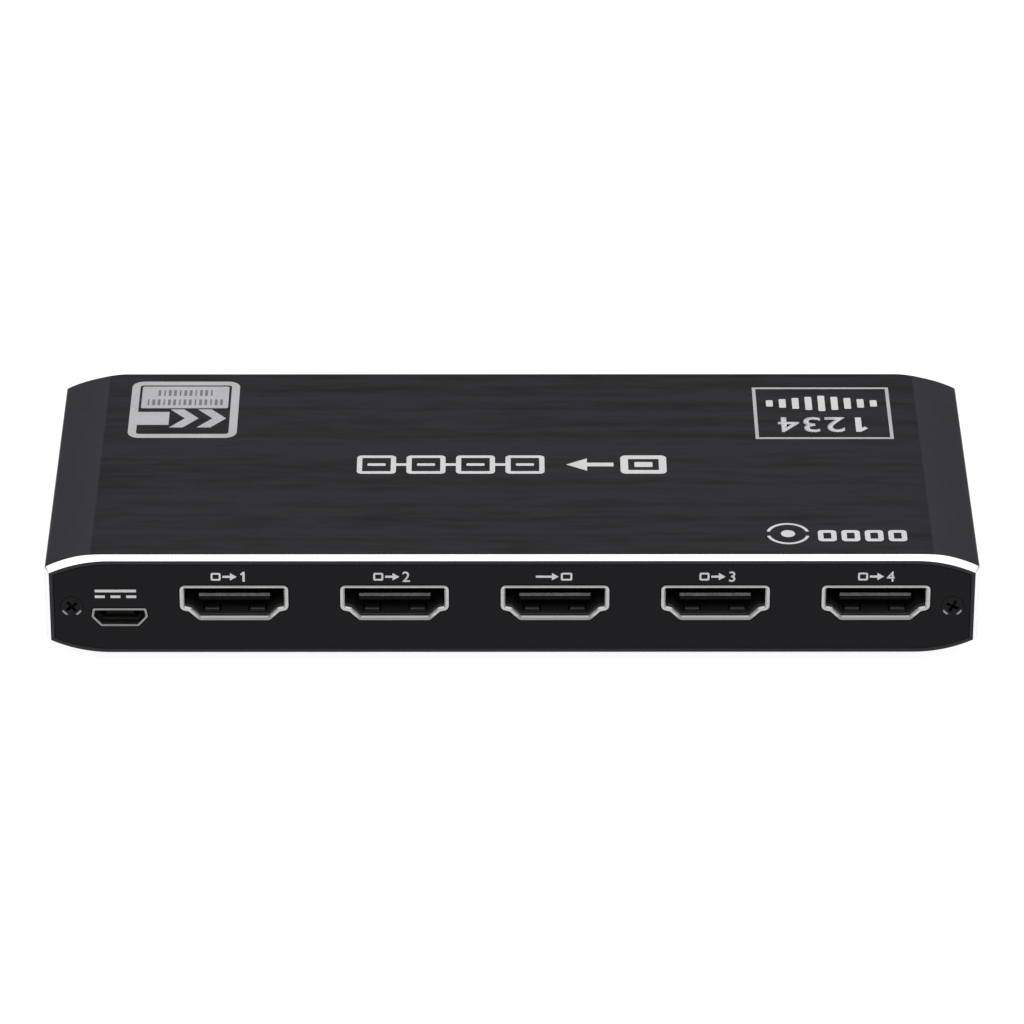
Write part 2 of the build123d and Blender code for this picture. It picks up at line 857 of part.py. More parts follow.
def ceramic_capacitors():
    points = [place(share) for share in ceramic_place_shares]
    x, y = place(splitter_place_share)
    ring = sink_side / 2 + ceramic_length
    for side in (-1, 1):
        points += [(x + small_part_pitch * step, y + side * ring) for step in ceramic_steps]
    return [end_capped(point, ceramic_height) for point in points]


def chip_resistors():
    y = field_front + array_width / 2 + small_part_row
    points = [(x + small_part_pitch * step, y) for x in av_columns for step in resistor_steps]
    return [end_capped(point, resistor_height) for point in points]


def surge_arrays():
    y_span = (field_front, field_front + array_width)
    z_span = (board_top, board_top + array_height)
    return [
        span_box(about(x + offset, array_length), y_span, z_span)
        for x in av_columns
        for offset in (-array_offset, array_offset)
    ]


# Lamps and light guide


def status_light(x):
    """A side-facing lamp: a white block with a shallow window towards the light guide."""
    lamp = span_box(about(x, lamp_width), (lamp_front, lamp_back), (board_top, board_top + lamp_height))
    window = span_box(
        about(x, lamp_width - 2 * lamp_frame),
        (lamp_back - lamp_window_depth, lamp_back + overrun),
        (board_top + lamp_frame, board_top + lamp_height - lamp_frame),
    )
    return lamp - window


def light_guide():
    """A clear bar on the board, with a pin through the rear plate for each lamp and two pegs."""
    reach = light_columns[-1] + guide_end
    guide = span_box((-reach, reach), (guide_front, guide_back), (board_top, board_top + guide_height))
    middle_y = (guide_front + guide_back) / 2
    for x in light_columns:
        guide += along_depth(Circle(light_pin_radius), middle_y, back, x, light_height)
    peg = Cylinder(peg_radius, peg_length + guide_height / 2, align=upright)
    for x in peg_columns():
        guide += Pos(x, middle_y, board_top - peg_length) * peg
    return guide


# Build every node

os.makedirs("parts", exist_ok=True)

write_node("case_tube", case_tube())
write_node("socket_plate", socket_plate())
write_node("indicator_plate", indicator_plate())
write_node("socket_plate_screws", *plate_screws(front, -1, front_screw_turns))
write_node("indicator_plate_screws", *plate_screws(back, 1, back_screw_turns))
write_node("rubber_feet", *rubber_feet())
write_node("main_board", main_board())

# The five AV sockets are alike, so the first is modelled and the others are its copies.
first_shell = av_shell(av_columns[0])
first_insulator = av_insulator(av_columns[0])
first_contacts = [contact(*row) for row in contact_rows(av_columns[0])]
for name, x in zip(socket_names, av_columns):
    shift = Pos(x - av_columns[0], 0, 0)
    write_node(name + "_socket_shell", shift * first_shell)
    write_node(name + "_socket_insulator", shift * first_insulator)
    write_node(name + "_socket_contacts", *[shift * one for one in first_contacts])

write_node("power_socket_shell", power_shell())
write_node("power_socket_insulator", power_insulator())
write_node("power_socket_contacts", *[power_contact(x) for x in power_contact_columns()])

four_sides = (0, 90, 180, 270)
two_sides = (0, 180)

spot = place(splitter_place_share)
body = chip_body(spot, splitter_side, splitter_side, splitter_height)
leads = chip_leads(spot, splitter_side, splitter_height, splitter_lead, four_sides)
write_node("splitter_chip_body", body)
write_node("splitter_chip_leads", *leads)
write_node("thermal_pad", thermal_pad())
write_node("heat_sink", heat_sink())

spot = place(control_place_share)
body = chip_body(spot, control_width, control_length, control_height)
leads = chip_leads(spot, control_width, control_height, control_lead, two_sides)
write_node("control_chip_body", body)
write_node("control_chip_leads", *leads)

spot = place(regulator_place_share)
body = chip_body(spot, regulator_width, regulator_length, regulator_height)
leads = chip_leads(spot, regulator_width, regulator_height, regulator_lead, two_sides)
write_node("regulator_body", body)
write_node("regulator_leads", *leads)

shield, core = inductor()
write_node("inductor_shield", shield)
write_node("inductor_core", core)

bulk_capacitors = [bulk_capacitor(place(share)) for share in bulk_place_shares]
write_node("bulk_capacitor_cans", *[can for can, base in bulk_capacitors])
write_node("bulk_capacitor_bases", *[base for can, base in bulk_capacitors])
write_node("clock_crystal", clock_crystal())
write_node("ceramic_capacitors", *ceramic_capacitors())
write_node("chip_resistors", *chip_resistors())
write_node("surge_arrays", *surge_arrays())
write_node("status_lights", *[status_light(x) for x in light_columns])
write_node("light_guide", light_guide())
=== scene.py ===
import json
import math

import bmesh
import bpy
from mathutils import Matrix, Vector


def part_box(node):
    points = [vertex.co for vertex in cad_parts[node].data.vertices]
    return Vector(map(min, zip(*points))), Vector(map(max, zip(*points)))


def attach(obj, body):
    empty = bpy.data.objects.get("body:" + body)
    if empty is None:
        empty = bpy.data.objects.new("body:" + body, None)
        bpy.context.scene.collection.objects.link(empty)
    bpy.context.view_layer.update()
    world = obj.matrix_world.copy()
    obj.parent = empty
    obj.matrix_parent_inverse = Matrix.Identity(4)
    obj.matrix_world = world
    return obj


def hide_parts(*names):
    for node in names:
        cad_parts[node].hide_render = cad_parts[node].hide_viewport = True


# A slim black signal splitter box on a pale floor, seen from its socket side and from above.
# The frame gives the pieces at their real size, in metres: sockets face -Y and +Z is up.
# This script gives them their finish, and makes the case and the printed marks as meshes.

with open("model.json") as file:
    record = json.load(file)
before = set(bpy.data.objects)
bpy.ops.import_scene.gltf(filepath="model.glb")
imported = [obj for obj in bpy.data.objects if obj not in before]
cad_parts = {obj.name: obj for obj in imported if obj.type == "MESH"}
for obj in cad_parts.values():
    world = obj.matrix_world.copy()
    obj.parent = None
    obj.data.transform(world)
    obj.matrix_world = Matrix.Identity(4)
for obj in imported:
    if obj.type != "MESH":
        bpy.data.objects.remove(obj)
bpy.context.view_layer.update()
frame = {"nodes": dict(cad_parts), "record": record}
nodes = frame["nodes"]

mm = 0.001
outputs_and_input = ("out_1", "out_2", "input", "out_3", "out_4")


def middle_of(name):
    """The middle of a node's box."""
    low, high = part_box(name)
    return (low + high) / 2


# Sizes read from the frame
case_low, case_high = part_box("case_tube")
front, back = case_low.y, case_high.y
case_half = (case_high.x - case_low.x) / 2
middle = (case_high.z + case_low.z) / 2
front_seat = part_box("socket_plate")[1].y
back_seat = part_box("indicator_plate")[0].y
board_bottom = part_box("main_board")[0].z - middle
av_first = middle_of("out_1_socket_insulator")
av_pitch = middle_of("out_2_socket_insulator").x - av_first.x
power_middle = middle_of("power_socket_insulator")

# Print: how thick a mark is, and how high one stands that is printed over another
ink = 0.012 * mm
ink_top = ink * 1.5
roof_level = case_high.z - ink_top
roof_height = roof_level - middle

# Case: the tube's section, its mouths, and the ports and ribs inside it
wall = 1.2 * mm
shoulder_run = 9.0 * mm
shoulder_drop = 2.2 * mm
shoulder_radius = (shoulder_run**2 + shoulder_drop**2) / (2 * shoulder_drop)
corner_round = 0.4 * mm
least_round = 0.1 * mm
mouth_chamfer = 0.65 * mm
flat_cut = 0.18 * mm  # how much further back than down the chamfer runs
shoulder_cut = 0.4 * mm  # how much further back still it runs on the shoulders
cut_ramp = 5.0 * mm  # how far along a shoulder it takes to do so
bare_from = 0.02 * mm  # how far below the skin the bare metal begins
skin_start = 4 * mouth_chamfer  # how far behind the mouth the skin's long faces begin
edge_round = 0.07 * mm
screw_inset = 3.7 * mm
port_radius = 1.85 * mm
port_hole_radius = 1.0 * mm
port_slot = 0.9 * mm
shelf_width = 1.5 * mm
shelf_thickness = 1.1 * mm
rib_top, rib_bottom = board_bottom, board_bottom - shelf_thickness
wall_levels = (port_radius, -port_radius, rib_top, rib_bottom)  # where they meet the side wall
shoulder_steps = 14
corner_steps = 4
edge_steps = 3
port_steps = 12
smooth_case = math.radians(50)  # edges of the case below this angle are shaded smooth

# Edges softened by modifiers
crease = math.radians(30)  # edges above this angle are rounded
weld_distance = 0.0005 * mm
plate_edge = 0.06 * mm
shell_edge = 0.17 * mm
moulding_edge = 0.05 * mm
guide_edge = 0.1 * mm

# Finish: half of the width that is brushed, how soon that ends, and where noise has its values
brush_half = 58.9 * mm
brush_fade = 0.25 * mm
narrow_span = (0.35, 0.65)
wide_span = (0.3, 0.7)

# Camera, fitted to the case's corners and the sockets
view_distance = 900.5 * mm
view_elevation = math.radians(28.846)
view_yaw = math.radians(-0.2025)
view_roll = math.radians(0.0765)
view_aim = Vector((0.052, 0.0, 8.747)) * mm
focal_share = 6.0964  # focal length over the width of the picture
sensor_width = 36.0
clip_near, clip_far = 0.05, 20.0


# Mesh helpers


def mesh_object(name, mesh, materials):
    """A piece from a mesh, riding on the part's one body."""
    made = bpy.data.objects.new(name, mesh)
    bpy.context.scene.collection.objects.link(made)
    for material in materials:
        mesh.materials.append(material)
    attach(made, "root")
    return made


def shade_smooth(mesh, angle):
    """Smooth shading, with edges sharper than the angle kept sharp."""
    mesh.polygons.foreach_set("use_smooth", [True] * len(mesh.polygons))
    mesh.set_sharp_from_angle(angle=angle)


def angles_between(start, end, steps):
    return [start + (end - start) * step / steps for step in range(steps + 1)]


def rounded_path(points, radius, steps):
    """A path of 2-D points with each inner corner rounded by a short arc of like tangents."""
    path = [Vector(points[0])]
    for before, corner, after in zip(points, points[1:], points[2:]):
        before, corner, after = Vector(before), Vector(corner), Vector(after)
        arriving = (before - corner).normalized()
        leaving = (after - corner).normalized()
        half_turn = (math.pi - arriving.angle(leaving)) / 2
        reach = radius * math.tan(half_turn)
        start, end = corner + arriving * reach, corner + leaving * reach
        for step in range(steps + 1):
            share = step / steps
            path.append(start * (1 - share) ** 2 + corner * 2 * share * (1 - share) + end * share**2)
    path.append(Vector(points[-1]))
    return path


def bridge(mesh, first, second, closed=True, material=0, skipped=()):
    """Quads between two rows of vertices of one length."""
    count = len(first)
    for index in range(count if closed else count - 1):
        if index in skipped:
            continue
        following = (index + 1) % count
        face = mesh.faces.new((first[index], first[following], second[following], second[index]))
        face.material_index = material


# Case


def quarter_section(inset):
    """(x, z) of the section's upper right quarter, from the roof's edge to the side wall."""
    side = case_half - inset
    arc_x = case_half - shoulder_run
    arc_z = roof_height - shoulder_radius
    radius = shoulder_radius - inset
    corner = max(corner_round - inset, least_round)
    corner_x = side - corner
    corner_z = arc_z + math.sqrt((radius - corner) ** 2 - (corner_x - arc_x) ** 2)
    meeting = math.atan2(corner_z - arc_z, corner_x - arc_x)
    points = []
    for angle in angles_between(math.pi / 2, meeting, shoulder_steps):
        points.append((arc_x + radius * math.cos(angle), arc_z + radius * math.sin(angle)))
    for step in range(1, corner_steps + 1):
        angle = meeting * (1 - step / corner_steps)
        points.append((corner_x + corner * math.cos(angle), corner_z + corner * math.sin(angle)))
    return points


def section(inset):
    """(x, z) round the whole section, clockwise from the roof's right edge, with the wall's levels."""
    upper = quarter_section(inset)
    lower = [(x, -z) for x, z in reversed(upper)]
    side = [(case_half - inset, level) for level in wall_levels]
    right = upper + side + lower
    left = [(-x, z) for x, z in reversed(right)]
    return right + left


def port_outline():
    """(x, z) round a slotted port on the right wall, from its top edge to its bottom edge."""
    centre = case_half - screw_inset
    half_slot = port_slot / 2
    outer_start = math.asin(half_slot / port_radius)
    hole_start = math.asin(half_slot / port_hole_radius)
    upper = [
        (centre + port_radius * math.cos(angle), port_radius * math.sin(angle))
        for angle in angles_between(math.pi / 2, math.pi - outer_start, port_steps)
    ]
    hole = [
        (centre + port_hole_radius * math.cos(angle), port_hole_radius * math.sin(angle))
        for angle in angles_between(math.pi - hole_start, -math.pi + hole_start, 2 * port_steps)
    ]
    lower = [(x, -z) for x, z in reversed(upper)]
    return upper + hole + lower


def rib_outline():
    """(x, z) of a shelf rib's two inner corners on the right wall, from the top down."""
    inner = case_half - wall - shelf_width
    return [(inner, rib_top), (inner, rib_bottom)]


def past_flat(x):
    """0 on the roof's flat, rising to 1 over the first part of each shoulder."""
    share = (abs(x) - (case_half - shoulder_run)) / cut_ramp
    share = min(max(share, 0.0), 1.0)
    return share * share * (3 - 2 * share)


def add_ring(mesh, points, y, further=0.0):
    """Vertices round the section at y, moved along Y by up to a length on the shoulders."""
    return [mesh.verts.new((x, y + further * past_flat(x), middle + z)) for x, z in points]


def add_mouth(mesh, mouth, seat, inward):
    """A mouth's rings, from its plate's seat over the rim and the chamfer; gives the first and last."""
    corners = [
        (seat - mouth, wall),
        (0, wall),
        (0, mouth_chamfer),
        (inward * mouth_chamfer, 0),
        (inward * skin_start, 0),
    ]
    path = rounded_path(corners, edge_round, edge_steps)
    rings = []
    for depth, inset in path:
        cut = inward * max(0.0, 1 - inset / mouth_chamfer)
        rings.append(add_ring(mesh, section(inset), mouth + depth + cut * flat_cut, cut * shoulder_cut))
    for (depth, inset), (next_depth, next_inset), ring, next_ring in zip(path, path[1:], rings, rings[1:]):
        sloping = next_inset != inset and next_depth != depth
        bright_metal = sloping and next_inset > bare_from and inset <= mouth_chamfer
        bridge(mesh, ring, next_ring, material=1 if bright_metal else 0)
    return rings[0], rings[-1]


def case_mesh():
    """The tube: outer skin, a cut chamfer and a rim at each mouth, and an inside with ports and ribs."""
    mesh = bmesh.new()
    front_ring, front_skin = add_mouth(mesh, front, front_seat, 1)
    back_ring, back_skin = add_mouth(mesh, back, back_seat, -1)
    bridge(mesh, front_skin, back_skin)

    count = len(front_ring)
    port_start = len(quarter_section(wall))
    features = ((port_start, port_outline()), (port_start + 2, rib_outline()))
    for side in (1, -1):
        rows = {}
        for seat, ring in ((front_seat, front_ring), (back_seat, back_ring)):
            for start, outline in features:
                high, low = (start, start + 1) if side > 0 else (count - 1 - start, count - 2 - start)
                points = [(side * x, z) for x, z in outline]
                row = [ring[high], *add_ring(mesh, points, seat), ring[low]]
                mesh.faces.new(row)
                rows[seat, start] = row
        for start, outline in features:
            bridge(mesh, rows[front_seat, start], rows[back_seat, start], closed=False)
    behind_features = {index for start, outline in features for index in (start, count - 2 - start)}
    bridge(mesh, front_ring, back_ring, skipped=behind_features)
    bmesh.ops.recalc_face_normals(mesh, faces=mesh.faces)
    made = bpy.data.meshes.new("case_tube_shell")
    mesh.to_mesh(made)
    mesh.free()
    shade_smooth(made, smooth_case)
    return made


# Materials


def new_material(name):
    material = bpy.data.materials.new(name)
    material.use_nodes = True
    return material, material.node_tree


def feed(tree, socket, value):
    """Links an input to another socket, or types in a number, a vector, a word or an (r, g, b)."""
    if isinstance(value, bpy.types.NodeSocket):
        tree.links.new(value, socket)
    elif socket.type == "RGBA":
        socket.default_value = (*value, 1.0)
    else:
        socket.default_value = value


def feed_all(tree, node, values):
    for name, value in values.items():
        feed(tree, node.inputs[name], value)


def dress(material, look):
    """Gives a material's shader the values of its inputs."""
    tree = material.node_tree
    feed_all(tree, tree.nodes["Principled BSDF"], look)
    return material


def add_node(tree, kind, values=None, **settings):
    """A node with its settings and its inputs' values."""
    made = tree.nodes.new(kind)
    for name, setting in settings.items():
        setattr(made, name, setting)
    feed_all(tree, made, values or {})
    return made


def place_on_object(tree):
    return add_node(tree, "ShaderNodeTexCoord").outputs["Object"]


def surface_normal(tree):
    return add_node(tree, "ShaderNodeNewGeometry").outputs["Normal"]


def axes_of(tree, vector):
    """The X, Y and Z of a vector, by name."""
    return add_node(tree, "ShaderNodeSeparateXYZ", {"Vector": vector}).outputs


def scaled_place(tree, per_metre, shift=0.0):
    """Places on the object with their own number of steps to a metre along each axis."""
    values = {"Vector": place_on_object(tree), "Scale": per_metre, "Location": (shift, shift, shift)}
    return add_node(tree, "ShaderNodeMapping", values).outputs["Vector"]


def noise(tree, per_metre, detail=2.0, roughness=0.5, shift=0.0):
    """Noise whose grains have their own number to a metre along each axis, as 0 to 1."""
    place = scaled_place(tree, per_metre, shift)
    values = {"Vector": place, "Scale": 1.0, "Detail": detail, "Roughness": roughness}
    return add_node(tree, "ShaderNodeTexNoise", values).outputs["Fac"]


def grid_of_cells(tree, per_metre, randomness, distance):
    """Cells on a level face, with their own number to a metre."""
    place = scaled_place(tree, (per_metre, per_metre, 0))
    values = {"Vector": place, "Scale": 1.0, "Randomness": randomness}
    return add_node(tree, "ShaderNodeTexVoronoi", values, distance=distance).outputs


def remap(tree, value, from_span, to_span=(0, 1), smooth=False):
    """Moves a value from one span to another and holds it at the ends."""
    names = ("From Min", "From Max", "To Min", "To Max")
    values = {"Value": value, **dict(zip(names, (*from_span, *to_span)))}
    kind = "SMOOTHSTEP" if smooth else "LINEAR"
    return add_node(tree, "ShaderNodeMapRange", values, interpolation_type=kind).outputs["Result"]


def calculate(tree, operation, *values):
    made = add_node(tree, "ShaderNodeMath", operation=operation)
    for socket, value in zip(made.inputs, values):
        feed(tree, socket, value)
    return made.outputs["Value"]


def sum_of_products(tree, first, second):
    """The products of two pairs, added."""
    products = [calculate(tree, "MULTIPLY", *pair) for pair in (first, second)]
    return calculate(tree, "ADD", *products)


def blend_values(tree, factor, first, second):
    values = {"Factor": factor, "A": first, "B": second}
    return add_node(tree, "ShaderNodeMix", values).outputs["Result"]


def blend_colours(tree, factor, first, second):
    """From the first colour to the second, as the factor goes from 0 to 1."""
    made = add_node(tree, "ShaderNodeMix", {"Factor": factor}, data_type="RGBA")
    for socket, value in zip(made.inputs[6:8], (first, second)):  # the node's inputs for colours
        feed(tree, socket, value)
    return made.outputs[2]


def bump(tree, height, distance, strength):
    values = {"Height": height, "Distance": distance, "Strength": strength}
    return add_node(tree, "ShaderNodeBump", values).outputs["Normal"]


def grey(level, blue=None):
    """A grey, with its blue a little off where that is given."""
    return (level, level, level if blue is None else blue)


def satin(name, dark, light, grain, roughness, specular=0.5, depth=0.004 * mm):
    """A plain finish with a fine grain in its colour, its roughness and its surface."""
    material, tree = new_material(name)
    fine = noise(tree, (grain,) * 3, detail=3.0)
    broad = noise(tree, (grain / 12,) * 3, shift=3.7)
    mixed = sum_of_products(tree, (fine, 0.55), (broad, 0.45))
    look = {
        "Base Color": blend_colours(tree, remap(tree, mixed, narrow_span), dark, light),
        "Roughness": remap(tree, mixed, wide_span, roughness),
        "Specular IOR Level": specular,
        "Normal": bump(tree, fine, depth, 0.5),
    }
    return dress(material, look)


def printed(name, dark, light):
    """Matt ink."""
    return satin(name, dark, light, grain=2500.0, roughness=(0.5, 0.6), specular=0.3, depth=0.002 * mm)


def drawn_metal(
    name,
    dark,
    light,
    roughness,
    stretch=(300, 4000, 4000),
    noise_roughness=0.5,
    depth=0.002 * mm,
    strength=0.3,
):
    """Plated or plain metal with faint lines, whose number to a metre along each axis stretch gives."""
    material, tree = new_material(name)
    lines = noise(tree, stretch, detail=3.0, roughness=noise_roughness)
    look = {
        "Base Color": blend_colours(tree, remap(tree, lines, wide_span), dark, light),
        "Roughness": remap(tree, lines, wide_span, roughness),
        "Metallic": 1.0,
        "Normal": bump(tree, lines, depth, strength),
    }
    return dress(material, look)


def brushed_anodised():
    """Black anodising, brushed along X on the flat of the roof, and smooth and paler on the shoulders as
    painted light.
    """
    material, tree = new_material("case_anodised")
    across = calculate(tree, "ABSOLUTE", axes_of(tree, place_on_object(tree))["X"])
    on_flat = remap(tree, across, (brush_half, brush_half + brush_fade), (1, 0), smooth=True)
    on_top = remap(tree, axes_of(tree, surface_normal(tree))["Z"], (0.8, 0.95))
    brushed = calculate(tree, "MULTIPLY", on_flat, on_top)

    long_streaks = noise(tree, (5, 330, 40), detail=4.0, roughness=0.65)
    short_streaks = noise(tree, (100, 640, 40), detail=3.0, roughness=0.65, shift=11.3)
    streaks = sum_of_products(tree, (long_streaks, 0.5), (short_streaks, 0.5))
    streak_dark, streak_light = (0.0002, 0.0001, 0.0007), (0.0131, 0.0118, 0.0178)
    streak_colour = blend_colours(tree, remap(tree, streaks, (0.38, 0.56)), streak_dark, streak_light)

    grain = noise(tree, (700, 700, 700), detail=3.0, shift=2.9)
    # Painted light: the smooth finish is paler than the brushed flat to light the shoulders, and the walls
    # share it
    smooth_dark, smooth_light = (0.0232, 0.0219, 0.0288), (0.0257, 0.0243, 0.0318)
    smooth_lit_colour = blend_colours(tree, remap(tree, grain, narrow_span), smooth_dark, smooth_light)
    patches = remap(tree, noise(tree, (14, 60, 40), shift=5.1), narrow_span, (0.0, 0.15))
    toned = blend_colours(tree, patches, streak_colour, smooth_lit_colour)

    brushed_roughness = remap(tree, streaks, narrow_span, (0.34, 0.46))
    smooth_roughness = remap(tree, grain, wide_span, (0.34, 0.38))
    relief = calculate(tree, "MULTIPLY", streaks, brushed)
    look = {
        "Base Color": blend_colours(tree, brushed, smooth_lit_colour, toned),
        "Roughness": blend_values(tree, brushed, smooth_roughness, brushed_roughness),
        "Specular Tint": (0.93, 0.90, 1.0),
        "Specular IOR Level": 0.15,
        "Normal": bump(tree, relief, 0.014 * mm, 0.6),
    }
    return dress(material, look)


def circuit_board():
    """Green mask over runs of tracks that turn from patch to patch, with tinned holes and pale edges."""
    material, tree = new_material("board_mask")
    axes = axes_of(tree, place_on_object(tree))
    patches = grid_of_cells(tree, 130.0, 1.0, "CHEBYCHEV")
    tone = add_node(tree, "ShaderNodeSeparateColor", {"Color": patches["Color"]}).outputs
    half_pitch, gap_edge = 0.35 * mm, (0.13 * mm, 0.17 * mm)
    runs = []
    for axis in ("X", "Y"):
        wave = calculate(tree, "PINGPONG", axes[axis], half_pitch)
        runs.append(remap(tree, wave, gap_edge))
    turned = remap(tree, tone["Red"], (0.49, 0.51))
    filled = remap(tree, tone["Green"], (0.54, 0.56))
    copper = calculate(tree, "MAXIMUM", blend_values(tree, turned, *runs), filled)
    mask = blend_colours(tree, copper, (0.003, 0.018, 0.010), (0.008, 0.042, 0.021))

    holes = grid_of_cells(tree, 340.0, 0.7, "EUCLIDEAN")["Distance"]
    rings = calculate(tree, "MULTIPLY", remap(tree, holes, (0.135, 0.115)), filled)
    bores = calculate(tree, "MULTIPLY", remap(tree, holes, (0.075, 0.06)), filled)
    tinned = blend_colours(tree, rings, mask, (0.45, 0.45, 0.40))
    drilled = blend_colours(tree, bores, tinned, grey(0.01))
    level = calculate(tree, "ABSOLUTE", axes_of(tree, surface_normal(tree))["Z"])
    on_face = remap(tree, level, (0.4, 0.6))
    look = {
        "Base Color": blend_colours(tree, on_face, (0.30, 0.30, 0.13), drilled),
        "Roughness": remap(tree, copper, (0, 1), (0.42, 0.34)),
        "Normal": bump(tree, copper, 0.02 * mm, 0.5),
    }
    return dress(material, look)


def clear_plastic():
    material, tree = new_material("clear_acrylic")
    look = {
        "Base Color": (0.93, 0.96, 0.97),
        "Roughness": remap(tree, noise(tree, (500, 500, 500)), wide_span, (0.06, 0.16)),
        "IOR": 1.49,
        "Transmission Weight": 0.85,
    }
    return dress(material, look)


def socket_plating(name, centre, tone, lip_depth, half_height):
    """Satin nickel, dark and less metallic where it lines a socket whose mouth has its middle at a centre,
    as painted shade.

    The lip keeps its shine down to lip_depth. It is darker at its top edge and along its foot, where
    half_height is that of the lip.
    """
    material, tree = new_material(name)
    lines = noise(tree, (300, 4000, 4000), detail=3.0)
    place = axes_of(tree, place_on_object(tree))
    facing = axes_of(tree, surface_normal(tree))
    column = calculate(tree, "SUBTRACT", place["X"], centre.x)
    across = calculate(tree, "WRAP", column, av_pitch / 2, -av_pitch / 2)
    upward = calculate(tree, "SUBTRACT", place["Z"], centre.z)
    outward = sum_of_products(tree, (across, facing["X"]), (upward, facing["Z"]))
    lining = remap(tree, outward, (0.1 * mm, -0.2 * mm))
    lip_end, lining_fade = front + lip_depth, 0.9 * mm
    deep = remap(tree, place["Y"], (lip_end, lip_end + lining_fade), smooth=True)
    inside = calculate(tree, "MULTIPLY", lining, deep)

    top_span = (half_height - 0.35 * mm, half_height)
    foot_span = (0.9 * mm - half_height, 0.3 * mm - half_height)
    top_edge = remap(tree, upward, top_span, (0, 0.75), smooth=True)
    foot = remap(tree, upward, foot_span, (0, 0.45), smooth=True)
    edges = calculate(tree, "MAXIMUM", top_edge, foot)
    grain = remap(tree, lines, wide_span)
    shine = blend_colours(tree, grain, grey(tone, tone * 0.97), grey(tone * 1.26, tone * 1.22))
    bright = blend_colours(tree, edges, shine, grey(0.05))
    # Painted shade: past the lip, the lining is given a dark colour and less metal
    shaded_lining = blend_colours(tree, grain, (0.033, 0.032, 0.030), (0.050, 0.048, 0.045))
    look = {
        "Base Color": blend_colours(tree, inside, bright, shaded_lining),
        "Roughness": remap(tree, lines, wide_span, (0.26, 0.36)),
        "Metallic": remap(tree, inside, (0, 1), (1.0, 0.25)),
        "Normal": bump(tree, lines, 0.002 * mm, 0.3),
    }
    return dress(material, look)


def socket_moulding():
    """Black moulding, with a painted highlight that makes the bevels facing up and out paler."""
    material, tree = new_material("moulding_black")
    fine = noise(tree, (1800, 1800, 1800), detail=3.0)
    facing = axes_of(tree, surface_normal(tree))
    outward = remap(tree, facing["Y"], (-0.55, -0.68), smooth=True)
    upward = remap(tree, facing["Z"], (0.25, 0.5), smooth=True)
    # Painted highlight: the bevels that face up and out are made paler
    painted_highlight_mask = calculate(tree, "MULTIPLY", outward, upward)
    grain = remap(tree, fine, narrow_span)
    plain = blend_colours(tree, grain, grey(0.0025, 0.0024), grey(0.0055, 0.0052))
    painted_highlight_colour = blend_colours(tree, grain, grey(0.21, 0.22), grey(0.31, 0.32))
    look = {
        "Base Color": blend_colours(tree, painted_highlight_mask, plain, painted_highlight_colour),
        "Roughness": remap(tree, fine, wide_span, (0.4, 0.52)),
        "Specular IOR Level": 0.07,
        "Normal": bump(tree, fine, 0.004 * mm, 0.5),
    }
    return dress(material, look)


def blackened_screw():
    """Blackened steel, with a painted glint of bright metal at two places low on each head's rim."""
    material, tree = new_material("screw_black")
    fine = noise(tree, (1500, 1500, 1500), detail=3.0)
    place = axes_of(tree, place_on_object(tree))
    either_side = calculate(tree, "ABSOLUTE", place["X"])
    across = calculate(tree, "ABSOLUTE", calculate(tree, "SUBTRACT", either_side, case_half - screw_inset))
    below = calculate(tree, "SUBTRACT", middle, place["Z"])
    radius_squared = sum_of_products(tree, (across, across), (below, below))
    radius = calculate(tree, "SQRT", radius_squared)
    # Painted glint: bright metal at two places low on each head's rim, over this span of radii
    painted_glint_radii = (1.18 * mm, 1.36 * mm)
    painted_glint_ring = remap(tree, radius, painted_glint_radii, smooth=True)
    share = calculate(tree, "DIVIDE", calculate(tree, "MULTIPLY", across, below), radius_squared)
    painted_glint_arc = remap(tree, share, (0.33, 0.47), smooth=True)
    bright_metal = calculate(tree, "MULTIPLY", painted_glint_ring, painted_glint_arc)
    black = blend_colours(tree, remap(tree, fine, narrow_span), grey(0.0045, 0.0058), grey(0.0080, 0.0100))
    look = {
        "Base Color": blend_colours(tree, bright_metal, black, grey(0.27, 0.28)),
        "Roughness": remap(tree, fine, wide_span, (0.30, 0.42)),
        "Metallic": bright_metal,
        "Specular IOR Level": 0.12,
        "Normal": bump(tree, fine, 0.004 * mm, 0.5),
    }
    return dress(material, look)


case_finish = brushed_anodised()
chamfer_finish = drawn_metal(
    "cut_aluminium",
    grey(0.86, 0.87),
    grey(0.97),
    (0.34, 0.44),
    stretch=(60, 5200, 5200),
    noise_roughness=0.6,
    depth=0.004 * mm,
    strength=0.4,
)
white_ink = printed("white_print", grey(0.60), grey(0.69))
grey_ink = printed("grey_print", grey(0.42, 0.445), grey(0.49, 0.515))
dark_ink = printed("dark_print", grey(0.15, 0.16), grey(0.19, 0.20))

# Rubber, pad and ferrite have little shine and a deep grain
deep_grain = {"specular": 0.3, "depth": 0.02 * mm}

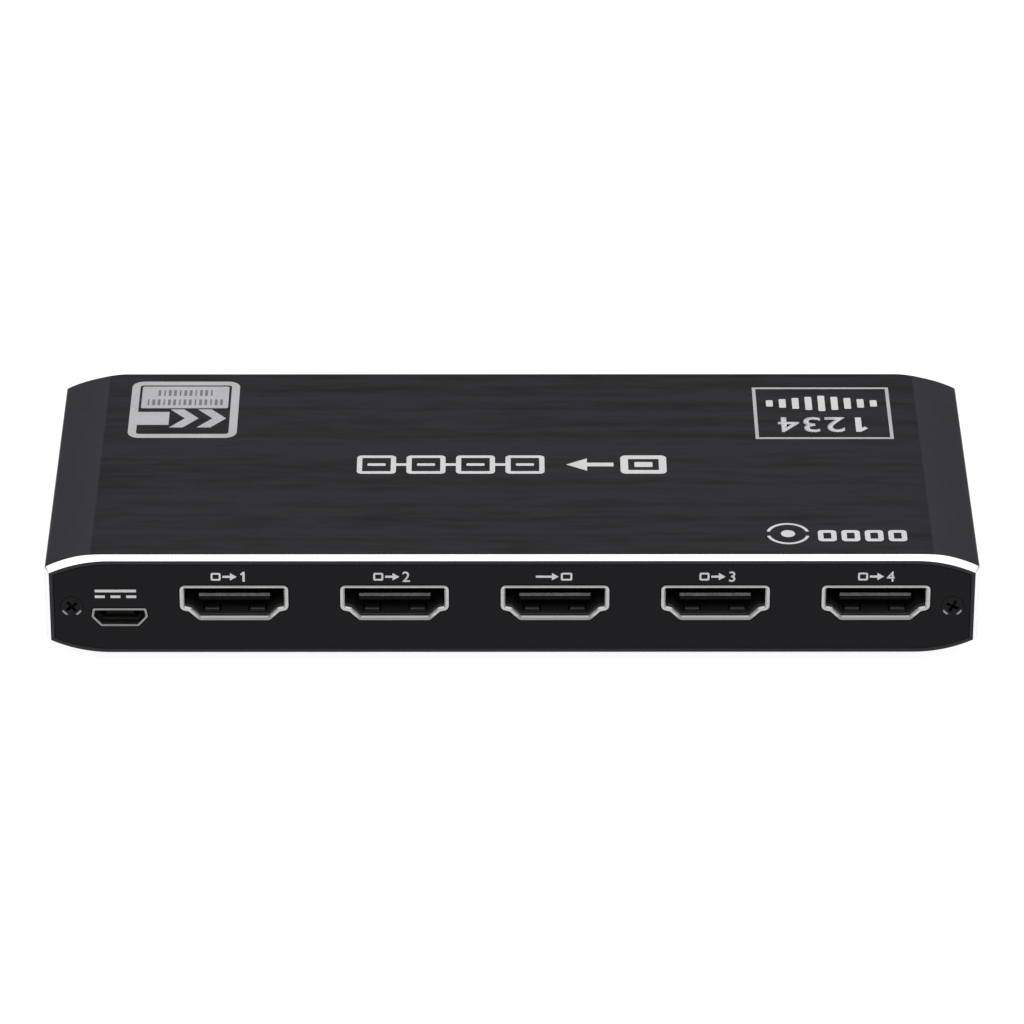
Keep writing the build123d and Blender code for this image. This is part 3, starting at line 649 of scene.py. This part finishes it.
# Each packed material slot's finish
finishes = {
    "anodised_plate": satin(
        "plate_anodised",
        (0.0036, 0.0035, 0.0060),
        (0.0050, 0.0048, 0.0080),
        grain=700.0,
        roughness=(0.42, 0.5),
        specular=0.13,
    ),
    "black_screw": blackened_screw(),
    "foot_rubber": satin("rubber_black", grey(0.018), grey(0.03), 2200.0, (0.75, 0.9), **deep_grain),
    "circuit_board": circuit_board(),
    "socket_steel": socket_plating("nickel_plate", av_first, 0.42, 0.25 * mm, 2.8 * mm),
    "black_moulding": socket_moulding(),
    "gold_contact": drawn_metal("gold_flash", (0.72, 0.50, 0.20), (0.86, 0.63, 0.29), (0.22, 0.32)),
    "chip_moulding": satin(
        "chip_black",
        grey(0.016, 0.017),
        grey(0.03, 0.031),
        grain=3500.0,
        roughness=(0.55, 0.7),
        specular=0.4,
        depth=0.01 * mm,
    ),
    "tinned_lead": drawn_metal("tin", grey(0.66, 0.65), grey(0.78, 0.77), (0.28, 0.42)),
    "grey_thermal_pad": satin(
        "pad_grey", (0.34, 0.38, 0.42), (0.42, 0.46, 0.5), 1200.0, (0.7, 0.85), **deep_grain
    ),
    "sink_aluminium": drawn_metal(
        "plain_aluminium", grey(0.62, 0.63), grey(0.74, 0.75), (0.3, 0.45), stretch=(4000, 200, 4000)
    ),
    "grey_ferrite": satin("ferrite", grey(0.06, 0.063), grey(0.1, 0.105), 2600.0, (0.6, 0.8), **deep_grain),
    "can_aluminium": drawn_metal(
        "can_bright", grey(0.70, 0.71), grey(0.82, 0.83), (0.2, 0.32), stretch=(3500, 3500, 300)
    ),
    "can_steel": drawn_metal("can_nickel", grey(0.60, 0.59), grey(0.72, 0.71), (0.2, 0.3)),
    "ceramic_brown": satin("ceramic", (0.30, 0.20, 0.12), (0.46, 0.33, 0.22), 2600.0, (0.4, 0.55)),
    "resistor_black": satin("resistor_glaze", grey(0.014), grey(0.03), 2600.0, (0.3, 0.45)),
    "lamp_white": satin("lamp_moulding", grey(0.74, 0.70), grey(0.82, 0.79), 1800.0, (0.35, 0.45)),
    "clear_guide": clear_plastic(),
}
# The power socket shares a slot with the others, so its shell's finish goes by the node's name
own_finishes = {
    "power_socket_shell": socket_plating("dim_nickel", power_middle, 0.23, 0.8 * mm, 1.9 * mm),
}


def finish_cad_nodes():
    """Gives each carried-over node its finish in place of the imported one."""
    slots = {row["node"]: row["material_slot"] for row in frame["record"]["subparts"]}
    for name, node_object in nodes.items():
        finish = own_finishes.get(name) or finishes.get(slots[name])
        if finish:
            for slot in node_object.material_slots:
                slot.material = finish


def weld_and_smooth():
    """Geometry nodes that join split vertices and mark as sharp only what is sharp."""
    tree = bpy.data.node_groups.new("weld_and_smooth", "GeometryNodeTree")
    for direction in ("INPUT", "OUTPUT"):
        tree.interface.new_socket("Geometry", in_out=direction, socket_type="NodeSocketGeometry")
    mesh = tree.nodes.new("NodeGroupInput").outputs[0]
    steps = (
        ("GeometryNodeMergeByDistance", {"Distance": weld_distance}, {}),
        ("GeometryNodeRemoveAttribute", {"Name": "custom_normal"}, {}),
        ("GeometryNodeSetShadeSmooth", {}, {"domain": "FACE"}),
    )
    for kind, values, settings in steps:
        mesh = add_node(tree, kind, {"Geometry": mesh, **values}, **settings).outputs["Geometry"]
    angle = add_node(tree, "GeometryNodeInputMeshEdgeAngle").outputs["Unsigned Angle"]
    gentle = add_node(tree, "FunctionNodeCompare", {"A": angle, "B": crease}, operation="LESS_THAN")
    values = {"Geometry": mesh, "Shade Smooth": gentle.outputs["Result"]}
    edges = add_node(tree, "GeometryNodeSetShadeSmooth", values, domain="EDGE")
    tree.links.new(edges.outputs["Geometry"], tree.nodes.new("NodeGroupOutput").inputs[0])
    return tree


welding = weld_and_smooth()


def soften_edges(name, width, segments=2):
    """Welds a node's split vertices and rounds its edges, by modifiers alone."""
    node_object = nodes[name]
    weld = node_object.modifiers.new("weld", "NODES")
    weld.node_group = welding
    rounding = node_object.modifiers.new("edges", "BEVEL")
    rounding.width = width
    rounding.segments = segments
    rounding.limit_method = "ANGLE"
    rounding.angle_limit = crease
    rounding.harden_normals = True


# Printed marks, drawn flat as (across, along) and laid on a face


def arc_points(centre, radius, start, end, steps):
    x, y = centre
    return [(x + radius * math.cos(a), y + radius * math.sin(a)) for a in angles_between(start, end, steps)]


def box_outline(low, high, radius=0.0):
    """A rectangle's outline, with its corners rounded where a radius is given."""
    (x0, y0), (x1, y1) = low, high
    if not radius:
        return [(x0, y0), (x1, y0), (x1, y1), (x0, y1)]
    quarter = math.pi / 2
    points = []
    for turn, (x, y) in enumerate(((x1, y1), (x0, y1), (x0, y0), (x1, y0))):
        centre = (x - math.copysign(radius, x - (x0 + x1) / 2), y - math.copysign(radius, y - (y0 + y1) / 2))
        points += arc_points(centre, radius, turn * quarter, (turn + 1) * quarter, steps=5)
    return points


class Print:
    """Flat shapes that become one thin mesh on a face."""

    least_corner = 0.0001 * mm  # radius of an inner corner where the band is wider than the outer radius
    arrow_spread = 0.62  # half of an arrow point's width, over its length
    text_share = 0.69  # a digit's height over its text size
    text_weight = 0.018  # how far a digit's outline is moved out, over its height
    stem_share = 0.1  # half of the number 1's stem, over its height
    flag = ((1, 0), (-0.6, 0), (-3.0, 2.4), (-2.0, 3.6), (-1, 2.7))  # in half stems, across and down

    def __init__(self):
        self.mesh = bmesh.new()

    def row(self, outline, level):
        return [self.mesh.verts.new((x, y, level)) for x, y in outline]

    def prism(self, outline, low=0.0, high=ink):
        below, above = self.row(outline, low), self.row(outline, high)
        self.mesh.faces.new(below)
        self.mesh.faces.new(above)
        bridge(self.mesh, below, above)

    def band(self, outer, inner):
        """A closed band between two outlines of one length."""
        rows = [self.row(*edge) for edge in ((outer, 0.0), (outer, ink), (inner, ink), (inner, 0.0))]
        for first, second in zip(rows, rows[1:] + rows[:1]):
            bridge(self.mesh, first, second)

    def box(self, low, high, radius=0.0):
        self.prism(box_outline(low, high, radius))

    def box_frame(self, low, high, width, radius=0.0):
        inner_radius = max(radius - width, self.least_corner) if radius else 0.0
        inner_low = (low[0] + width, low[1] + width)
        inner_high = (high[0] - width, high[1] - width)
        self.band(box_outline(low, high, radius), box_outline(inner_low, inner_high, inner_radius))

    def arc(self, centre, radius, width, start, end, steps):
        outer = arc_points(centre, radius, start, end, steps)
        inner = arc_points(centre, radius - width, start, end, steps)
        self.prism(outer + inner[::-1])

    def disc(self, centre, radius):
        self.prism(arc_points(centre, radius, 0, 2 * math.pi, steps=32)[:-1])

    def arrow(self, tail, head, width, point):
        """A straight arrow along the across direction, with a solid point."""
        neck = head[0] - math.copysign(point, head[0] - tail[0])
        y = tail[1]
        half = width / 2
        spread = point * self.arrow_spread
        lower = [(tail[0], y - half), (neck, y - half), (neck, y - spread)]
        upper = [(neck, y + spread), (neck, y + half), (tail[0], y + half)]
        self.prism([*lower, (head[0], y), *upper])

    def one(self, centre, height):
        """The number 1, with a flag."""
        x, y = centre
        half = height / 2
        stem = height * self.stem_share
        top = [(x + stem * across, y + half - stem * down) for across, down in self.flag]
        self.prism([(x - stem, y - half), (x + stem, y - half), *top])

    def digit(self, number, centre, height):
        """A plain number, centred on a point."""
        if number == 1:
            self.one(centre, height)
            return
        curve = bpy.data.curves.new("digit", "FONT")
        curve.body = str(number)
        curve.size = height / self.text_share
        curve.align_x = "CENTER"
        curve.offset = height * self.text_weight
        curve.resolution_u = 4
        holder = bpy.data.objects.new("digit", curve)
        flat = bpy.data.meshes.new_from_object(holder)
        flat.transform(Matrix.Translation((centre[0], centre[1] - height / 2, 0)))
        solid = bmesh.new()
        solid.from_mesh(flat)
        bmesh.ops.dissolve_limit(solid, angle_limit=math.radians(1), verts=solid.verts, edges=solid.edges)
        grown = bmesh.ops.extrude_face_region(solid, geom=solid.faces)
        lifted = [part for part in grown["geom"] if isinstance(part, bmesh.types.BMVert)]
        bmesh.ops.translate(solid, verts=lifted, vec=(0, 0, ink))
        merged = bpy.data.meshes.new("digit")
        solid.to_mesh(merged)
        self.mesh.from_mesh(merged)
        solid.free()
        bpy.data.meshes.remove(merged)
        bpy.data.meshes.remove(flat)
        bpy.data.objects.remove(holder)
        bpy.data.curves.remove(curve)

    def lay(self, name, material, placing):
        """Ends the print as a piece, moved onto its face by a matrix."""
        bmesh.ops.recalc_face_normals(self.mesh, faces=self.mesh.faces)
        self.mesh.transform(placing)
        made = bpy.data.meshes.new(name)
        self.mesh.to_mesh(made)
        self.mesh.free()
        return mesh_object(name, made, [material])


def onto_front(height):
    """Across is +X and along is +Z, on the socket plate at a height above the floor."""
    return Matrix.Translation((0, front, height)) @ Matrix.Rotation(math.pi / 2, 4, "X")


def onto_back(height):
    """Read from behind: across is -X and along is +Z, on the indicator plate."""
    turned = Matrix.Rotation(math.pi, 4, "Z") @ Matrix.Rotation(math.pi / 2, 4, "X")
    return Matrix.Translation((0, back, height)) @ turned


# Read from behind: across is -X and along is -Y, on the roof
onto_roof = Matrix.Translation((0, 0, roof_level)) @ Matrix.Rotation(math.pi, 4, "Z")

# Marks on the end plates, with their heights above the floor
socket_mark_level = 13.84 * mm
power_mark_level = 11.05 * mm
lamp_mark_level = 12.3 * mm
digit_height = 1.6 * mm
label_shifts = (-0.6, -0.35, -0.2, 0.3, 0.0)  # mm from each socket's middle to its mark's
output_mark = ((-2.6, -1.2), (-0.95, 1.05))  # the ends of its box and its arrow, in mm from its middle
input_mark = ((1.0, 2.6), (-2.5, 0.7))


def socket_marks():
    """A box, an arrow and a number over each output, and an arrow and a box over the input."""
    half, band, corner = 0.62 * mm, 0.27 * mm, 0.25 * mm
    line, point = 0.34 * mm, 0.95 * mm
    digit_shift = 2.0 * mm
    drawn = Print()
    number = 0
    for name, shift in zip(outputs_and_input, label_shifts):
        x = middle_of(name + "_socket_shell").x + shift * mm
        (left, right), (tail, head) = input_mark if name == "input" else output_mark
        drawn.box_frame((x + left * mm, -half), (x + right * mm, half), band, corner)
        drawn.arrow((x + tail * mm, 0), (x + head * mm, 0), line, point)
        if name != "input":
            number += 1
            drawn.digit(number, (x + digit_shift, 0), digit_height)
    drawn.lay("socket_marks", white_ink, onto_front(socket_mark_level))


def power_mark():
    """The direct-current sign over the power socket: a line over three dashes."""
    shift = -0.5 * mm
    half, thick, dash = 2.9 * mm, 0.42 * mm, 1.4 * mm
    line_foot, dash_foot = 0.30 * mm, -0.62 * mm
    x = middle_of("power_socket_shell").x + shift
    drawn = Print()
    drawn.box((x - half, line_foot), (x + half, line_foot + thick))
    for step in (-1, 0, 1):
        centre = x + step * (half - dash / 2)
        drawn.box((centre - dash / 2, dash_foot), (centre + dash / 2, dash_foot + thick))
    drawn.lay("power_mark", white_ink, onto_front(power_mark_level))


def lamp_marks():
    """A power sign and the numbers 1 to 4 over the lamps' pins."""
    low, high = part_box("status_lights")
    lamp_half = 1.2 * mm
    reach = (high.x - low.x) / 2 - lamp_half
    first, *others = [reach * share for share in (-1, -0.5, 0, 0.5, 1)]
    radius, half_stroke = 0.85 * mm, 0.13 * mm
    stem_foot, stem_top = 0.1 * mm, 1.05 * mm
    half_gap = 0.6  # half of the ring's opening at the top, in radians
    start, end = math.pi / 2 + half_gap, 2.5 * math.pi - half_gap
    drawn = Print()
    drawn.arc((first, 0), radius, 2 * half_stroke, start, end, steps=28)
    drawn.box((first - half_stroke, stem_foot), (first + half_stroke, stem_top))
    for number, x in enumerate(others, 1):
        drawn.digit(number, (x, 0), digit_height)
    drawn.lay("lamp_marks", white_ink, onto_back(lamp_mark_level))


def badge():
    """A grey frame at the roof's back left, round a plate of small bars, a bar and two chevrons."""
    left, right = 39.8 * mm, 55.6 * mm
    near, far = -24.8 * mm, -7.3 * mm
    band, corner = 1.2 * mm, 1.7 * mm
    inset = band + 0.35 * mm
    plate_depth, plate_corner = 6.8 * mm, 0.3 * mm
    plate_near, plate_far = near + inset, near + inset + plate_depth
    drawn = Print()
    drawn.box_frame((left, near), (right, far), band, corner)
    drawn.box((left + inset, plate_near), (right - inset, plate_far), plate_corner)

    centre = -13.3 * mm
    bar_half, bar_length = 2.0 * mm, 4.6 * mm
    drawn.box((right - band - bar_length, centre - bar_half), (right - band, centre + bar_half))
    depth, reach, stroke = 2.8 * mm, 2.2 * mm, 2.0 * mm
    for base in (right - 5.9 * mm, right - 9.9 * mm):
        inner, outer = base - reach, base - stroke - reach
        near_side = [(base, centre - depth), (inner, centre), (base, centre + depth)]
        far_side = [(base - stroke, centre + depth), (outer, centre), (base - stroke, centre - depth)]
        drawn.prism(near_side + far_side)
    drawn.lay("roof_badge", grey_ink, onto_roof)

    bars = Print()
    middle_x = (left + right) / 2
    tall, pitch = 0.9 * mm, 0.76 * mm
    wide, narrow = 0.21 * mm, 0.12 * mm
    for row, (count, y) in enumerate(((11, -21.2 * mm), (15, -18.3 * mm))):
        for column in range(count):
            x = middle_x + pitch * (column - (count - 1) / 2)
            half = wide if (column + row) % 3 else narrow
            bars.prism(box_outline((x - half, y - tall), (x + half, y + tall)), ink, ink_top)
    bars.lay("roof_badge_bars", dark_ink, onto_roof)


def signal_box():
    """A thin frame at the roof's back right, round a row of bars and a row of numbers."""
    left, right = -55.3 * mm, -35.3 * mm
    near, far = -22.9 * mm, -6.9 * mm
    band = 0.5 * mm
    drawn = Print()
    drawn.box_frame((left, near), (right, far), band)
    drawn.lay("roof_box", grey_ink, onto_roof)

    inside = Print()
    middle_x = (left + right) / 2
    bars, bar_pitch, bar_half, bar_corner = 9, 1.9 * mm, 0.5 * mm, 0.2 * mm
    shortest, growth = 1.6 * mm, 3.2 * mm
    y = near + 5.0 * mm
    for bar in range(bars):
        step = bar - (bars - 1) / 2
        x = middle_x + bar_pitch * step
        half = (shortest + growth * (1 - abs(step) / (bars / 2))) / 2
        inside.box((x - bar_half, y - half), (x + bar_half, y + half), bar_corner)
    numbers, number_height, number_pitch = 4, 4.4 * mm, 3.4 * mm
    y = far - 4.4 * mm
    for number in range(1, numbers + 1):
        x = middle_x + number_pitch * (number - (numbers + 1) / 2)
        inside.digit(number, (x, y), number_height)
    inside.lay("roof_box_marks", white_ink, onto_roof)


def one_to_four():
    """The pictogram across the roof's middle: one socket, an arrow, and four sockets on a rail."""
    centre = 0.85 * mm
    start, end = -22.2 * mm, 22.2 * mm
    half, rail = 2.75 * mm, 0.75 * mm
    source, source_band, source_corner = 6.6 * mm, 1.1 * mm, 0.8 * mm
    output, output_band, output_corner = 5.6 * mm, 0.75 * mm, 0.7 * mm
    slot_start, slot_end, slot_corner = 2.0 * mm, 4.6 * mm, 0.2 * mm
    dash_start, dash_end = 4.1 * mm, 1.5 * mm
    pitch = 7.1 * mm
    tail, head = start + 7.6 * mm, start + 14.4 * mm
    line, point = 1.1 * mm, 3.0 * mm
    drawn = Print()
    drawn.box_frame((start, centre - half), (start + source, centre + half), source_band, source_corner)
    drawn.box((start + slot_start, centre - rail), (start + slot_end, centre + rail), slot_corner)
    drawn.arrow((tail, centre), (head, centre), line, point)
    low, high = centre - rail / 2, centre + rail / 2
    for index in range(4):
        right = end - pitch * (3 - index)
        left = right - output
        drawn.box_frame((left, centre - half), (right, centre + half), output_band, output_corner)
        drawn.box((right - dash_start, low), (right - dash_end, high), slot_corner)
        if index:
            drawn.box((right - pitch, low), (left, high))
    drawn.lay("roof_pictogram", white_ink, onto_roof)


def roof_ring_and_blocks():
    """A broken ring round a dot, and a row of blocks, near the roof's front right."""
    centre = (-38.8 * mm, 21.3 * mm)
    radius, ring_band, dot_radius = 3.05 * mm, 0.45 * mm, 1.0 * mm
    half_gap = math.radians(13)
    drawn = Print()
    for turn in (0, math.pi):
        drawn.arc(centre, radius, ring_band, turn + half_gap, turn + math.pi - half_gap, steps=20)
    drawn.disc(centre, dot_radius)

    first, pitch, width = -55.5 * mm, 3.3 * mm, 2.6 * mm
    near, far = 20.3 * mm, 23.5 * mm
    block_band, block_corner = 0.75 * mm, 0.6 * mm
    for index in range(4):
        x = first + pitch * index
        drawn.box_frame((x, near), (x + width, far), block_band, block_corner)
    drawn.lay("roof_small_marks", white_ink, onto_roof)


# Stage, light and camera


def floor():
    """A wide pale floor that glows a little, so that it stays white."""
    material, tree = new_material("pale_floor")
    shade = remap(tree, noise(tree, (2, 2, 2)), wide_span)
    look = {
        "Base Color": blend_colours(tree, shade, grey(0.14), grey(0.16)),
        "Emission Color": grey(1.0),
        "Emission Strength": 0.95,
        "Roughness": 0.9,
        "Specular IOR Level": 0.1,
    }
    dress(material, look)
    half = 3.0
    low = -0.02 * mm  # a hair under the feet
    corners = [(x, y, low) for x, y in box_outline((-half, -half), (half, half))]
    mesh = bpy.data.meshes.new("floor")
    mesh.from_pydata(corners, [], [(0, 1, 2, 3)])
    mesh.materials.append(material)
    made = bpy.data.objects.new("floor", mesh)
    bpy.context.scene.collection.objects.link(made)


def studio():
    """A white dome that is dim near the floor, so that upright and level faces stay dark."""
    world = bpy.data.worlds.new("studio")
    bpy.context.scene.world = world
    world.use_nodes = True
    tree = world.node_tree
    direction = add_node(tree, "ShaderNodeTexCoord").outputs["Generated"]
    dome = remap(tree, axes_of(tree, direction)["Z"], (0.30, 0.80), (0.12, 1.45), smooth=True)
    feed_all(tree, tree.nodes["Background"], {"Strength": dome, "Color": grey(1.0)})


def camera():
    data = bpy.data.cameras.new("camera")
    data.sensor_width = sensor_width
    data.lens = focal_share * sensor_width
    data.clip_start, data.clip_end = clip_near, clip_far
    level = math.cos(view_elevation)
    away = Vector((math.sin(view_yaw) * level, -math.cos(view_yaw) * level, math.sin(view_elevation)))
    right = Vector((math.cos(view_yaw), math.sin(view_yaw), 0))
    up = away.cross(right)
    turn, lean = math.cos(view_roll), math.sin(view_roll)
    axes = Matrix((right * turn + up * lean, up * turn - right * lean, away)).transposed()
    made = bpy.data.objects.new("camera", data)
    made.matrix_world = Matrix.Translation(view_aim + away * view_distance) @ axes.to_4x4()
    bpy.context.scene.collection.objects.link(made)
    bpy.context.scene.camera = made


# Build

case = mesh_object("case_tube_shell", case_mesh(), [case_finish, chamfer_finish])
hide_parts("case_tube")

finish_cad_nodes()
for prefix in outputs_and_input:
    soften_edges(prefix + "_socket_shell", shell_edge, segments=4)
    soften_edges(prefix + "_socket_insulator", moulding_edge)
soften_edges("socket_plate", plate_edge)
soften_edges("indicator_plate", plate_edge)
soften_edges("power_socket_shell", plate_edge, segments=3)
soften_edges("light_guide", guide_edge, segments=3)

socket_marks()
power_mark()
lamp_marks()
badge()
signal_box()
one_to_four()
roof_ring_and_blocks()

floor()
studio()
camera()
bpy.context.scene.view_settings.view_transform = "Standard"
